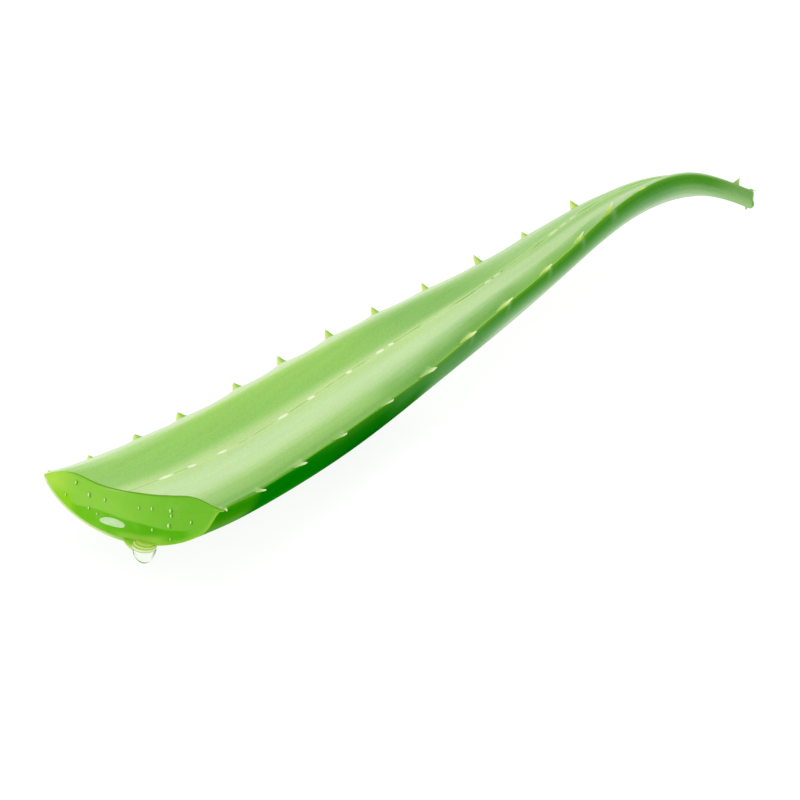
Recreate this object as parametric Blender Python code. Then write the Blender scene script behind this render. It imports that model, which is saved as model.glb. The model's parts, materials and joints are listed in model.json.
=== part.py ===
"""Aloe vera leaf, cut off at its base and lying on its back, with a drop of gel at the cut.

Metres, +Z up. The leaf runs along X from the cut face at -X to the tip at +X, and the tip curls
round towards -Y. The origin is under the middle of the whole, on the surface that it rests on.
"""

import math

import bmesh
import bpy
import numpy as np

MM = 0.001

# The leaf at a few stations, from the cut face to the tip, as shares of its length.
SHARE = (0.0, 0.10, 0.25, 0.42, 0.58, 0.72, 0.83, 0.92, 1.0)
SPINE_MM = (
    (-125.0, 6.5, 22.5), (-101.0, 8.5, 17.0), (-58.5, 6.5, 16.5), (-10.0, 7.5, 15.5),
    (35.5, 8.0, 15.0), (74.0, 7.5, 16.0), (103.0, -0.5, 24.0), (120.5, -14.5, 26.5),
    (126.5, -32.5, 21.5),
)
WIDTH_MM = (55.0, 50.5, 45.0, 38.0, 30.5, 24.5, 19.5, 15.5, 12.0)
DEPTH_MM = (14.5, 15.5, 17.5, 16.5, 14.0, 10.5, 8.5, 6.5, 3.5)
# How far the section is rolled about the spine, its -Y margin up.
ROLL_DEG = (5.0, 5.0, 4.5, 4.5, 11.5, 17.5, 23.0, 31.0, 50.0)

# The cut face leans this far off the spine's own cross section, its lower lip towards the tip.
CUT_LEAN_DEG = 5.5
CUT_LEAN_FADE = 0.10

# The section, in shares of its half width: a ridge inside each margin and a shallow channel.
RIDGE_HEIGHT = 0.075
RIDGE_AT = 0.70
RIDGE_SPREAD = 0.26
CHANNEL_SPREAD = 0.5
CHANNEL_SHARE = (0.0, 0.2, 0.5, 1.0)
CHANNEL_DEPTH = (0.0, 0.04, 0.08, 0.10)
BELLY_POWER = 0.62
TIP_ROUND_MM = 1.0

RINGS = 72
ACROSS = 16
TIP_RINGS = 3

# Marginal teeth: the gaps from one to the next, walking from the cut face to the tip.
NEAR_GAPS_MM = (3, 26, 20, 17, 22, 22, 23, 20, 24, 22, 17, 13, 38, 6)
FAR_GAPS_MM = (3, 16, 18, 16, 22, 20, 20, 20, 21, 24, 20, 17, 55)
TOOTH_HEIGHT_MM = 3.0
TOOTH_LENGTH_MM = 5.4
TOOTH_THICK_MM = 1.9
TOOTH_HOOK_MM = 1.7
TOOTH_LIFT_DEG = (10.0, 55.0)    # out of the leaf's own plane, at the base and at the tip
TOOTH_SINK_MM = 1.6
TOOTH_RINGS = 4
TOOTH_SIDES = 6
SHARP_DEG = 40.0

# The drop under the lower lip of the cut face.
DROP_AT = 0.18
DROP_FORWARD_MM = 1.6
DROP_GAP_MM = 0.3
DROP_PROFILE_MM = ((3.0, 0.0), (3.2, 0.7), (3.3, 1.6), (3.0, 2.8), (2.2, 3.7), (1.1, 4.1))
DROP_SIDES = 20


def spline(x, y):
    """Natural cubic spline through the points (x, y), as a function of x."""
    x, y = np.array(x, float), np.array(y, float)
    h = np.diff(x)
    m = np.eye(len(x))
    rhs = np.zeros_like(y)
    slope = (np.diff(y, axis=0).T / h).T
    for i in range(1, len(x) - 1):
        m[i, i - 1:i + 2] = h[i - 1], 2 * (h[i - 1] + h[i]), h[i]
        rhs[i] = 6 * (slope[i] - slope[i - 1])
    curve = np.linalg.solve(m, rhs)

    def at(s):
        i = min(max(int(np.searchsorted(x, s)) - 1, 0), len(h) - 1)
        u, v = x[i + 1] - s, s - x[i]
        return (curve[i] * u**3 + curve[i + 1] * v**3) / (6 * h[i]) \
            + (y[i] / h[i] - curve[i] * h[i] / 6) * u \
            + (y[i + 1] / h[i] - curve[i + 1] * h[i] / 6) * v

    return at


spine = spline(SHARE, SPINE_MM)
log_width = spline(SHARE, np.log(WIDTH_MM))
log_depth = spline(SHARE, np.log(DEPTH_MM))
roll = spline(SHARE, ROLL_DEG)


def frame(s):
    """Point on the spine, and the unit vectors along it, to the -Y margin, and out of the upper side."""
    step = 1e-3
    along = spine(min(s + step, 1.0)) - spine(max(s - step, 0.0))
    along /= np.linalg.norm(along)
    level = np.cross(along, (0, 0, 1))
    level /= np.linalg.norm(level)
    rise = np.cross(level, along)
    c, d = math.cos(math.radians(roll(s))), math.sin(math.radians(roll(s)))
    return spine(s), along, level * c + rise * d, rise * c - level * d


def upper(x, half, s):
    """Height of the upper side over the line from margin to margin; x runs from -1 to 1."""
    ridge = RIDGE_HEIGHT * math.exp(-((abs(x) - RIDGE_AT) / RIDGE_SPREAD) ** 2)
    channel = np.interp(s, CHANNEL_SHARE, CHANNEL_DEPTH) * math.exp(-(x / CHANNEL_SPREAD) ** 2)
    return half * (ridge - channel) * (1 - x**8)


def lower(x, depth):
    """Height of the belly, which is below that line."""
    return -depth * max(1 - x * x, 0.0) ** BELLY_POWER


def section_point(s, x, belly, shrink=1.0, ahead=0.0):
    """One point of the skin in mm: x across the leaf, on the belly or on the upper side."""
    centre, along, across, out = frame(s)
    half, depth = math.exp(log_width(s)) / 2, math.exp(log_depth(s))
    height = lower(x, depth) if belly else upper(x, half, s)
    lean = math.tan(math.radians(CUT_LEAN_DEG)) * max(1 - s / CUT_LEAN_FADE, 0.0)
    point = centre + across * half * x * shrink + out * height * shrink + along * (ahead - lean * height)
    return np.array((point[0], point[1], max(point[2], 0.0)))


def section_ring(s, shrink=1.0, ahead=0.0):
    """Closed ring of skin points: over the top from the far margin, then back under the belly."""
    xs = [-math.cos(math.pi * i / ACROSS) for i in range(ACROSS + 1)]
    top = [section_point(s, x, False, shrink, ahead) for x in xs]
    return top + [section_point(s, x, True, shrink, ahead) for x in xs[-2:0:-1]]


def add_object(name, bm, material):
    """A named object made from the closed mesh, its faces turned outward and shaded smooth."""
    bmesh.ops.recalc_face_normals(bm, faces=bm.faces)
    mesh = bpy.data.meshes.new(name)
    bm.to_mesh(mesh)
    bm.free()
    if material:
        mesh.materials.append(material)
        mesh.shade_smooth()
        mesh.set_sharp_from_angle(angle=math.radians(SHARP_DEG))
    obj = bpy.data.objects.new(name, mesh)
    bpy.context.scene.collection.objects.link(obj)
    return obj


def loft(rings, tip=None):
    """Closed skin over rings of equal length, ending in a point where a tip is given."""
    bm = bmesh.new()
    loops = [[bm.verts.new(p * MM) for p in ring] for ring in rings]
    count = len(loops[0])
    for a, b in zip(loops, loops[1:]):
        for i in range(count):
            bm.faces.new((a[i], a[(i + 1) % count], b[(i + 1) % count], b[i]))
    if tip is None:
        bm.faces.new(loops[-1])
    else:
        point = bm.verts.new(tip * MM)
        for i in range(count):
            bm.faces.new((loops[-1][i], loops[-1][(i + 1) % count], point))
    return bm, loops[0]


def leaf_blank(material):
    """The leaf without its teeth."""
    rings = [section_ring(i / RINGS) for i in range(RINGS + 1)]
    for i in range(1, TIP_RINGS + 1):
        turn = math.pi / 2 * i / (TIP_RINGS + 1)
        rings.append(section_ring(1.0, math.cos(turn), TIP_ROUND_MM * math.sin(turn)))
    centre, along, _, _ = frame(1.0)
    bm, cut = loft(rings, centre + along * TIP_ROUND_MM)
    # the cut face, in strips from the upper edge to the lower lip
    lip = [cut[0]] + [cut[-i] for i in range(1, ACROSS)] + [cut[ACROSS]]
    for i in range(ACROSS):
        bm.faces.new(tuple(dict.fromkeys((cut[i], cut[i + 1], lip[i + 1], lip[i]))))
    return add_object("leaf", bm, material)


def tooth_places():
    """Share of the length and side (1 near, -1 far) of every tooth."""
    length = sum(np.linalg.norm(spine((i + 1) / 200) - spine(i / 200)) for i in range(200))
    for side, gaps in ((1, NEAR_GAPS_MM), (-1, FAR_GAPS_MM)):
        walked = 0.0
        for gap in gaps:
            walked += gap
            if walked <= length:
                yield walked / length, side


def add_tooth(s, side, collection):
    """A small horn on the margin, flat from side to side and hooked towards the tip of the leaf."""
    _, along, across, out = frame(s)
    root = section_point(s, side, False)
    lift = math.radians(TOOTH_LIFT_DEG[0] * (1 - s) + TOOTH_LIFT_DEG[1] * s)
    rise = across * side * math.cos(lift) + out * math.sin(lift)
    thick = np.cross(rise, along)
    size = min(1.0, 0.7 + 0.3 * math.exp(log_width(s)) / 25)

    def centre(t):
        return root + size * (rise * (TOOTH_HEIGHT_MM * t - TOOTH_SINK_MM * (1 - t))
                              + along * (TOOTH_HOOK_MM * t**2))

    rings = []
    for k in range(TOOTH_RINGS):
        t = k / TOOTH_RINGS
        taper = (1 - t) ** 1.2 * size / 2
        rings.append([centre(t) + along * (TOOTH_LENGTH_MM * taper * math.cos(a))
                      + thick * (TOOTH_THICK_MM * taper * math.sin(a))
                      for a in (2 * math.pi * i / TOOTH_SIDES for i in range(TOOTH_SIDES))])
    bm, first = loft(rings, centre(1.0))
    bm.faces.new(first)
    tooth = add_object("tooth", bm, None)
    bpy.context.scene.collection.objects.unlink(tooth)
    collection.objects.link(tooth)


def union_with(obj, collection):
    """The object joined with everything in the collection, which is then removed."""
    join = obj.modifiers.new("teeth", "BOOLEAN")
    join.operation, join.solver = "UNION", "EXACT"
    join.operand_type, join.collection = "COLLECTION", collection
    graph = bpy.context.evaluated_depsgraph_get()
    mesh = bpy.data.meshes.new_from_object(obj.evaluated_get(graph), depsgraph=graph)
    obj.modifiers.clear()
    obj.data = mesh
    for part in list(collection.objects):
        bpy.data.objects.remove(part)
    bpy.data.collections.remove(collection)


def height_under_leaf(x, y):
    """Height of the belly over the point (x, y), or of the lower lip in front of the cut face."""
    lip = section_point(0.0, DROP_AT, True)
    behind = max(x - lip[0], 0.0) / (SPINE_MM[-1][0] - SPINE_MM[0][0])
    return section_point(behind, DROP_AT + (lip[1] - y) / (WIDTH_MM[0] / 2), True)[2]


def add_drop(material):
    """The drop, hanging plumb from the lower lip of the cut face and following it at its top."""
    lip = section_point(0.0, DROP_AT, True)
    x, y = lip[0] - DROP_FORWARD_MM, lip[1]
    deepest = DROP_PROFILE_MM[-1][1] + 0.2
    rings = []
    for r, z in DROP_PROFILE_MM:
        ring = []
        for i in range(DROP_SIDES):
            a = 2 * math.pi * i / DROP_SIDES
            px, py = x + r * math.cos(a), y + r * math.sin(a)
            top = height_under_leaf(px, py) - DROP_GAP_MM
            ring.append(np.array((px, py, top + (lip[2] - DROP_GAP_MM - top - deepest) * z / deepest)))
        rings.append(ring)
    bm, first = loft(rings, np.array((x, y, lip[2] - DROP_GAP_MM - deepest)))
    bm.faces.new(first)
    return add_object("gel_drop", bm, material)


def add_material(name, colour, roughness, **inputs):
    """A plain material with one colour."""
    material = bpy.data.materials.new(name)
    material.use_nodes = True
    shader = material.node_tree.nodes["Principled BSDF"]
    shader.inputs["Base Color"].default_value = (*colour, 1.0)
    shader.inputs["Roughness"].default_value = roughness
    shader.inputs["Metallic"].default_value = 0.0
    for key, value in inputs.items():
        shader.inputs[key].default_value = value
    return material


def build():
    for obj in list(bpy.data.objects):
        bpy.data.objects.remove(obj)

    skin = add_material("leaf_skin", (0.29, 0.56, 0.17), 0.42)
    clear = add_material("clear_gel", (0.86, 0.95, 0.72), 0.05, IOR=1.34)
    clear.node_tree.nodes["Principled BSDF"].inputs["Transmission Weight"].default_value = 1.0

    leaf = leaf_blank(skin)
    teeth = bpy.data.collections.new("teeth")
    bpy.context.scene.collection.children.link(teeth)
    for s, side in tooth_places():
        add_tooth(s, side, teeth)
    union_with(leaf, teeth)
    add_drop(clear)


build()
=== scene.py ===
# %% [markdown]
# # An aloe vera leaf, cut across and lying on its rounded underside
#
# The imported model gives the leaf's true size and place. This lesson dresses it: a fine skin with
# its waxy bands, the toothed margins, the wet gel of the cut face and the clear drop under it.
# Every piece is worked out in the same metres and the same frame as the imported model.

import json
import math

import bpy
import numpy as np
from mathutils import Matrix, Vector

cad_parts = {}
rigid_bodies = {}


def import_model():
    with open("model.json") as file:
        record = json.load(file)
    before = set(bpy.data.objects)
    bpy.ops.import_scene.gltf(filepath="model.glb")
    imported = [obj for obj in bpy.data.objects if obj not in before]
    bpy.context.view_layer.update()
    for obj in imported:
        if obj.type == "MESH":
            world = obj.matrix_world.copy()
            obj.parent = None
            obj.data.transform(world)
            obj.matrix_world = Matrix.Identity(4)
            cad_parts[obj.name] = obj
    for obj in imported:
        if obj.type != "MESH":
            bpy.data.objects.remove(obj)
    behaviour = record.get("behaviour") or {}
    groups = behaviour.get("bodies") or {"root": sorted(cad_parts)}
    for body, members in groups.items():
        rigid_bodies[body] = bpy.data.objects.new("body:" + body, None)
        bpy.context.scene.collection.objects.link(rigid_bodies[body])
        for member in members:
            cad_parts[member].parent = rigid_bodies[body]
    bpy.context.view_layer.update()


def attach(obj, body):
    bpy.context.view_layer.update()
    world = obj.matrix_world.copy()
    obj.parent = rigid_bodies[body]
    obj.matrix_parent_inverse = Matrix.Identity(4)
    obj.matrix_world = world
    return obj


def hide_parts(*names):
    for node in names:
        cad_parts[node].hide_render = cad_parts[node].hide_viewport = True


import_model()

# %% [markdown]
# ## The leaf's own curves
#
# On the real plant a leaf is one thick tapering blade. It is easiest to describe as a spine with
# a section that changes along it: wide and flat-topped at the cut, round-backed and narrow
# towards the tip. These are the same few stations that the solid model was made from, so the
# skin follows it closely. Only the margins, the knife's edge and the tip are worked finer here.

# %% Stations along the leaf, in millimetres
MM = 0.001
SHARE = (0.0, 0.10, 0.25, 0.42, 0.58, 0.72, 0.83, 0.92, 1.0)
SPINE_MM = (
    (-125.0, 6.5, 22.5), (-101.0, 8.5, 17.0), (-58.5, 6.5, 16.5), (-10.0, 7.5, 15.5),
    (35.5, 8.0, 15.0), (74.0, 7.5, 16.0), (103.0, -0.5, 24.0), (120.5, -14.5, 26.5),
    (126.5, -32.5, 21.5),
)
WIDTH_MM = (55.0, 50.5, 45.0, 38.0, 30.5, 24.5, 19.5, 15.5, 12.0)
DEPTH_MM = (14.5, 15.5, 17.5, 16.5, 14.0, 10.5, 8.5, 6.5, 3.5)
ROLL_DEG = (5.0, 5.0, 4.5, 4.5, 11.5, 17.5, 23.0, 31.0, 50.0)
CUT_LEAN_DEG, CUT_LEAN_FADE = 5.5, 0.10
RIDGE_HEIGHT, RIDGE_AT, RIDGE_SPREAD = 0.075, 0.70, 0.26
CHANNEL_SHARE, CHANNEL_DEPTH, CHANNEL_SPREAD = (0.0, 0.2, 0.5, 1.0), (0.0, 0.04, 0.08, 0.10), 0.5
MARGIN_FADE, BELLY_POWER = 8, 0.62
# the knife's wavy edge on the upper side, and the underside trimmed at the near corner of the cut
KNIFE_ACROSS = (-1, -0.92, -0.82, -0.71, -0.48, -0.23, -0.08, 0.23, 0.38, 0.54, 0.66, 0.76, 0.87, 1)
KNIFE_MM = (0, 0.45, 0.40, 0.14, -0.05, -0.22, -0.25, 0.11, 0.25, -0.08, -0.34, -0.42, -0.50, -0.38)
TRIM_ACROSS, TRIM_FADE = (0.78, 0.84, 0.89, 0.935, 0.966, 0.985, 1), 0.12
TRIM_MM = (0, 0.3, 1.1, 1.75, 1.6, 0.75, -0.38)
TIP_SETTLE_MM, TIP_SETTLE_FROM, TIP_SETTLE_RUN = 0.32, 0.62, 0.16
TIP_THIN, TIP_THIN_FROM, TIP_THIN_RUN = 0.18, 0.92, 0.08
# a tooth: walk along the leaf, height, base behind, base ahead, lean forwards, half thickness, and
# how far it is turned up, in degrees
NEAR_TEETH_MM = (
    (0.4, 0.9, 0.7, 1.4, -0.5, 0.46, -18), (26.4, 1.80, 3.2, 0.5, 1.2, 0.45, 10),
    (48.1, 1.44, 3.4, 0.5, 1.1, 0.42, 10), (65.5, 0.47, 4.0, 0.5, 1.2, 0.36, 0),
    (86.3, 0.35, 5.0, 0.5, 1.3, 0.36, 5), (107.7, 1.28, 6.5, 0.6, 2.0, 0.55, 8),
    (130.9, 1.22, 6.5, 0.6, 1.9, 0.64, 22), (151.5, 1.5, 6.5, 0.7, 2.1, 0.66, 42),
    (177.4, 1.0, 6.5, 1.1, 2.1, 0.70, 46), (198.7, 2.16, 4.6, 1.2, 2.1, 0.80, 54),
    (214.9, 2.95, 4.4, 1.1, 2.0, 0.80, 58), (229.3, 0.4, 4.0, 0.8, 1.4, 0.30, 10),
    (267.9, 2.5, 1.5, 0.9, 0.1, 0.45, 50), (272.8, 0.5, 0.4, 0.9, 2.1, 0.40, 5),
)
FAR_TEETH_MM = (
    (3.3, 0.6, 0.8, 1.8, 0.1, 0.30, 40), (19.8, 0.95, 1.1, 2.0, 0.5, 0.35, 50),
    (35.6, 1.40, 1.4, 2.6, 0.6, 0.42, 55), (50.3, 1.88, 1.5, 2.8, 0.6, 0.45, 58),
    (71.7, 1.78, 1.5, 2.9, 0.6, 0.45, 58), (91.3, 2.26, 1.6, 2.6, 0.6, 0.45, 58),
    (112.3, 2.44, 1.6, 2.3, 0.6, 0.45, 58), (132.0, 2.30, 1.6, 2.3, 0.6, 0.45, 58),
    (154.8, 2.32, 1.5, 2.0, 0.6, 0.45, 58), (179.8, 3.15, 1.6, 2.2, 0.6, 0.45, 58),
    (198.7, 1.75, 1.3, 1.6, 0.5, 0.42, 58), (215.8, 2.95, 1.4, 1.7, 0.5, 0.45, 58),
)
UNDER_TEETH_MM = ((273.0, 1.3, 1.2, 0.8, 0.2, 0.6, 0),)
print("stations:", len(SHARE), "teeth:", len(NEAR_TEETH_MM), "near,", len(FAR_TEETH_MM), "far")


# %% Smooth curves through the stations
def spline(x, y):
    """Natural cubic spline through the points, as a function of an array of shares."""
    x, y = np.array(x, float), np.array(y, float).reshape(len(x), -1)
    step = np.diff(x)
    slope = np.diff(y, axis=0) / step[:, None]
    m, rhs = np.eye(len(x)), np.zeros_like(y)
    for i in range(1, len(x) - 1):
        m[i, i - 1:i + 2] = step[i - 1], 2 * (step[i - 1] + step[i]), step[i]
        rhs[i] = 6 * (slope[i] - slope[i - 1])
    bend = np.linalg.solve(m, rhs)

    def at(s):
        s = np.atleast_1d(np.asarray(s, float))
        i = np.clip(np.searchsorted(x, s) - 1, 0, len(step) - 1)
        u, v, h = (x[i + 1] - s)[:, None], (s - x[i])[:, None], step[i][:, None]
        value = (bend[i] * u**3 + bend[i + 1] * v**3) / (6 * h) \
            + (y[i] / h - bend[i] * h / 6) * u + (y[i + 1] / h - bend[i + 1] * h / 6) * v
        return value[:, 0] if value.shape[1] == 1 else value

    return at


spine, log_width = spline(SHARE, SPINE_MM), spline(SHARE, np.log(WIDTH_MM))
log_depth, roll = spline(SHARE, np.log(DEPTH_MM)), spline(SHARE, ROLL_DEG)
LENGTH_MM = float(np.linalg.norm(np.diff(spine(np.linspace(0, 1, 401)), axis=0), axis=1).sum())
print("length along the spine, mm:", round(LENGTH_MM, 1))


# %% The section at any place, and points on it
def half_width(s):
    return np.exp(log_width(s)) / 2


def leaf_axes(s):
    """Spine point, and the directions along it, to the near margin, and out of the upper side."""
    ahead, behind = spine(np.minimum(s + 1e-3, 1.0)), spine(np.maximum(s - 1e-3, 0.0))
    along = (ahead - behind) / np.linalg.norm(ahead - behind, axis=1, keepdims=True)
    level = np.cross(along, (0.0, 0.0, 1.0))
    level /= np.linalg.norm(level, axis=1, keepdims=True)
    rise = np.cross(level, along)
    turn = np.radians(roll(s))[:, None]
    return (spine(s), along, level * np.cos(turn) + rise * np.sin(turn),
            rise * np.cos(turn) - level * np.sin(turn))


def upper_height(x, s):
    """Height of the upper side over the line between the margins; x is -1 far to 1 near."""
    ridge = RIDGE_HEIGHT * np.exp(-((np.abs(x) - RIDGE_AT) / RIDGE_SPREAD) ** 2)
    channel = np.interp(s, CHANNEL_SHARE, CHANNEL_DEPTH) * np.exp(-(x / CHANNEL_SPREAD) ** 2)
    knife = np.interp(x, KNIFE_ACROSS, KNIFE_MM) * np.maximum(1 - s / CUT_LEAN_FADE, 0.0) ** 2
    return half_width(s) * (ridge - channel) * (1 - x**MARGIN_FADE) + knife


def belly_height(x, s):
    """The same for the rounded underside."""
    trimmed = np.interp(x, TRIM_ACROSS, TRIM_MM) * np.maximum(1 - s / TRIM_FADE, 0.0) ** 2
    depth = np.exp(log_depth(s)) * (1 - TIP_THIN * np.clip((s - TIP_THIN_FROM) / TIP_THIN_RUN, 0, 1))
    return -depth * np.maximum(1 - x * x, 0.0) ** BELLY_POWER + trimmed


def place(s, sideways, height, ahead=0.0):
    """Points in mm from shares along the leaf and offsets in its own section."""
    centre, along, across, out = leaf_axes(s)
    lean = math.tan(math.radians(CUT_LEAN_DEG)) * np.maximum(1 - s / CUT_LEAN_FADE, 0.0)
    points = centre + across * sideways[:, None] + out * height[:, None] \
        + along * (ahead - lean * height)[:, None]
    points[:, 2] -= TIP_SETTLE_MM * np.clip((s - TIP_SETTLE_FROM) / TIP_SETTLE_RUN, 0, 1) ** 2
    return points


print("width at the cut, mm:", round(float(2 * half_width(np.zeros(1))[0]), 1))

# %% [markdown]
# ## The skin, the rind's edge and the cut flesh
#
# The real leaf has one unbroken skin, and where the knife went through it shows a thin edge of
# rind round a face of clear jelly. Modelling that by pushing a box about would leave lumps, so
# a flat grid is rolled up instead: its long way runs from the middle of the cut face, out over
# the rind and down the leaf to the tip, and its short way runs once round the section. Every
# vertex is sent to its place by the leaf's curves, the seam and both poles are welded, and one
# closed mesh comes out.

# %% How the margins stand out at their teeth
STAND_NEAR_MM = (  # shares along the leaf, and how far the margin stands out there
    (0, 0.06, 0.13, 0.21, 0.29, 0.36, 0.52, 0.60, 0.68, 0.76, 0.85),
    (0.6, 0.85, 0.7, 0.35, 0.25, 0.55, 0.4, 0.55, 0.0, -0.3, 0.0),
)
STAND_FAR_MM = (
    (0, 0.02, 0.04, 0.058, 0.066, 0.095, 0.11, 0.124, 0.153, 0.168, 0.22, 0.25, 0.285, 0.31, 0.36, 0.40,
     0.5, 0.61, 0.64, 0.69, 0.74, 0.77, 0.81, 0.84),
    (0.6, 1.4, 1.3, 1.1, 0.9, 0.9, 0.5, 0.5, 0.6, 0.05, -0.15, -0.2, 0.04, 0.15, 0.02, 0.2,
     0.6, 1.15, 0.8, 1.15, 1.6, 1.3, 1.1, 0.0),
)
SAG_NEAR_MM = ((0, 0.3, 0.5, 1), (0.8, 0.75, 0.45, 0.25))
SAG_FAR_MM = ((0, 0.1, 0.155, 0.22, 0.3, 0.38, 0.5, 1), (0.5, 0.4, 0.8, 1.2, 1.5, 1.4, 0.9, 0.3))
BEFORE_TEETH_MM, PAST_TEETH_MM = -18.0, 9.0
NOTCH_PAST_TOOTH_MM, NOTCH_RUN_MM, NOTCH_POWER, SCALLOP_POWER = 0.4, 0.8, 4, 0.85


def margin_shift(s, side):
    """The margin stands out at its teeth and draws in between them: the shift outwards, in mm."""
    walk = s * LENGTH_MM
    teeth_mm = [tooth[0] for tooth in (NEAR_TEETH_MM if side > 0 else FAR_TEETH_MM)]
    stops = np.array([BEFORE_TEETH_MM] + teeth_mm + [LENGTH_MM + PAST_TEETH_MM])
    i = np.clip(np.searchsorted(stops, walk) - 1, 0, len(stops) - 2)
    t = (walk - stops[i]) / (stops[i + 1] - stops[i])
    if side < 0:
        return np.interp(s, *STAND_FAR_MM) - np.interp(s, *SAG_FAR_MM) * (4 * t * (1 - t)) ** SCALLOP_POWER
    past = np.maximum(walk - stops[i] - NOTCH_PAST_TOOTH_MM, 0)
    drawn_in = (1 - t**NOTCH_POWER) * (1 - np.exp(-past / NOTCH_RUN_MM))
    return np.interp(s, *STAND_NEAR_MM) - np.interp(s, *SAG_NEAR_MM) * drawn_in


print("near margin at the first tooth, mm:", margin_shift(np.array([0.002]), 1).round(2))

# %% Rows of the grid: cut face, rind, skin, tip
FACE_ROWS, RIND_ROWS, SKIN_ROWS, TIP_ROWS, AROUND = 26, 4, 360, 8, 144
ALL_ROWS = FACE_ROWS + RIND_ROWS + SKIN_ROWS + TIP_ROWS
RIND_MM, RIND_BULGE_MM, RIND_POWER = 0.5, 0.12, 10
NEAR_EDGE_POWER, FAR_EDGE_POWER = 60, 12
FACE_CENTRE = (-0.02, 0.42)
FACE_DOME_MM, DOME_POWER = 1.1, 2.4
TIP_ROUND_MM, TIP_HOLLOW_MM, TIP_SLANT, TIP_SLANT_FROM, TIP_SHUT_POWER = 0.35, 0.05, 0.08, 0.93, 1.4
FLOOR_EASE_MM = 0.25


def soft_floor(z):
    """Eases the underside onto the ground instead of cutting it off sharply."""
    eased = FLOOR_EASE_MM * np.log1p(np.exp(np.clip(z / FLOOR_EASE_MM, -40, 40)))
    return np.where(z > 4 * FLOOR_EASE_MM, z, eased)


def section_offsets(x, below, s, inset):
    """Sideways offset and height of section points, drawn in by inset (0 to 1) of the rind."""
    drawn_in = RIND_MM * inset * (1 - np.abs(x) ** RIND_POWER)
    height = np.where(below, belly_height(x, s) + drawn_in, upper_height(x, s) - drawn_in)
    reach = np.abs(x) ** np.where(below & (x > 0), NEAR_EDGE_POWER, FAR_EDGE_POWER)
    shift = np.where(x > 0, margin_shift(s, 1), margin_shift(s, -1)) * reach
    return x * (half_width(s) - RIND_MM * inset) + np.sign(x) * shift, height


def roll_up(u, v):
    """Places of the grid's vertices in mm; u runs round the section, v along the rows."""
    row = np.rint(v * ALL_ROWS)
    x, below = -np.cos(2 * math.pi * u), u > 0.5
    k = np.clip(row / FACE_ROWS, 0, 1)
    inset = np.clip(1 - (row - FACE_ROWS) / RIND_ROWS, 0, 1)
    s = np.clip((row - FACE_ROWS - RIND_ROWS) / SKIN_ROWS, 0, 1)
    shut = np.clip((row - ALL_ROWS + TIP_ROWS) / TIP_ROWS, 0, 1)
    side, height = section_offsets(x, below, s, inset)
    on_face = row < FACE_ROWS
    mid_side = FACE_CENTRE[0] * half_width(s)
    mid_height = -FACE_CENTRE[1] * np.exp(log_depth(s))
    side = np.where(on_face, mid_side + (side - mid_side) * k, side) * (1 - shut**TIP_SHUT_POWER)
    height = np.where(on_face, mid_height + (height - mid_height) * k, height) * (1 - shut**TIP_SHUT_POWER)
    rind_round = RIND_BULGE_MM * np.sin(math.pi * inset) * (row >= FACE_ROWS)
    dome = np.where(on_face, FACE_DOME_MM * (1 - k**DOME_POWER), 0.0)
    end = TIP_ROUND_MM * np.sqrt(np.clip(6 * shut, 0, 1)) - TIP_HOLLOW_MM * shut**1.2
    end = end - TIP_SLANT * side * np.clip((s - TIP_SLANT_FROM) / (1 - TIP_SLANT_FROM), 0, 1) ** 2
    points = place(s, side, height, end - dome - rind_round)
    points[:, 2] = soft_floor(points[:, 2])
    return points, x, below, s, row, side, height


print("rows of the grid:", ALL_ROWS, "and round the section:", AROUND)

# %% Short names for steps that come back
def only_active(piece):
    bpy.ops.object.select_all(action="DESELECT")
    piece.select_set(True)
    bpy.context.view_layer.objects.active = piece


def start_from(primitive, name, **options):
    """A fresh primitive to shape, with nothing else selected."""
    bpy.ops.object.select_all(action="DESELECT")
    primitive(**options)
    piece = bpy.context.object
    piece.name = piece.data.name = name
    return piece


def resize_all(value):
    """Resizes the whole active piece about the origin."""
    bpy.ops.object.mode_set(mode="EDIT")
    bpy.ops.transform.resize(value=value, center_override=(0, 0, 0))
    bpy.ops.object.mode_set(mode="OBJECT")


def close_up(piece, weld=0.0):
    """Merges vertices nearer than weld, and turns every face outwards."""
    only_active(piece)
    bpy.ops.object.mode_set(mode="EDIT")
    bpy.ops.mesh.select_all(action="SELECT")
    if weld:
        bpy.ops.mesh.remove_doubles(threshold=weld)
    bpy.ops.mesh.normals_make_consistent(inside=False)
    bpy.ops.object.mode_set(mode="OBJECT")


def join_pieces(pieces, name):
    bpy.ops.object.select_all(action="DESELECT")
    for piece in pieces:
        piece.select_set(True)
    bpy.context.view_layer.objects.active = pieces[0]
    bpy.ops.object.join()
    pieces[0].name = pieces[0].data.name = name
    return pieces[0]


def vertex_array(mesh):
    flat = np.empty(len(mesh.vertices) * 3)
    mesh.vertices.foreach_get("co", flat)
    return flat.reshape(-1, 3)


def set_vertices(mesh, points):
    mesh.vertices.foreach_set("co", points.ravel())
    mesh.update()


def add_attribute(mesh, name, values):
    layer = mesh.attributes.new(name, "FLOAT", "POINT")
    layer.data.foreach_set("value", np.asarray(values, np.float32))


# %% Roll the grid up
UPPER, FLANK, CUT = 0, 1, 2
leaf = start_from(bpy.ops.mesh.primitive_grid_add, "leaf_body",
                  x_subdivisions=AROUND, y_subdivisions=ALL_ROWS, size=1.0)
flat = vertex_array(leaf.data) + 0.5
points, x, below, s, row, side_mm, height_mm = roll_up(flat[:, 0], flat[:, 1])
set_vertices(leaf.data, points * MM)
for polygon in leaf.data.polygons:
    corners = list(polygon.vertices)
    polygon.material_index = CUT if row[corners].max() <= FACE_ROWS + RIND_ROWS else \
        FLANK if flat[corners, 0].mean() > 0.5 else UPPER
print("grid of", len(points), "vertices rolled up")

# %% [markdown]
# ### What the materials need to know
#
# The bands of the skin run along the leaf, so the materials follow the leaf and not the room.
# Each vertex carries a few plain numbers: how far along it is, how far across, how far it is
# round the skin from the near and the far margin, and how near to a tooth. They bend with the
# leaf, as the bands do.


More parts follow.
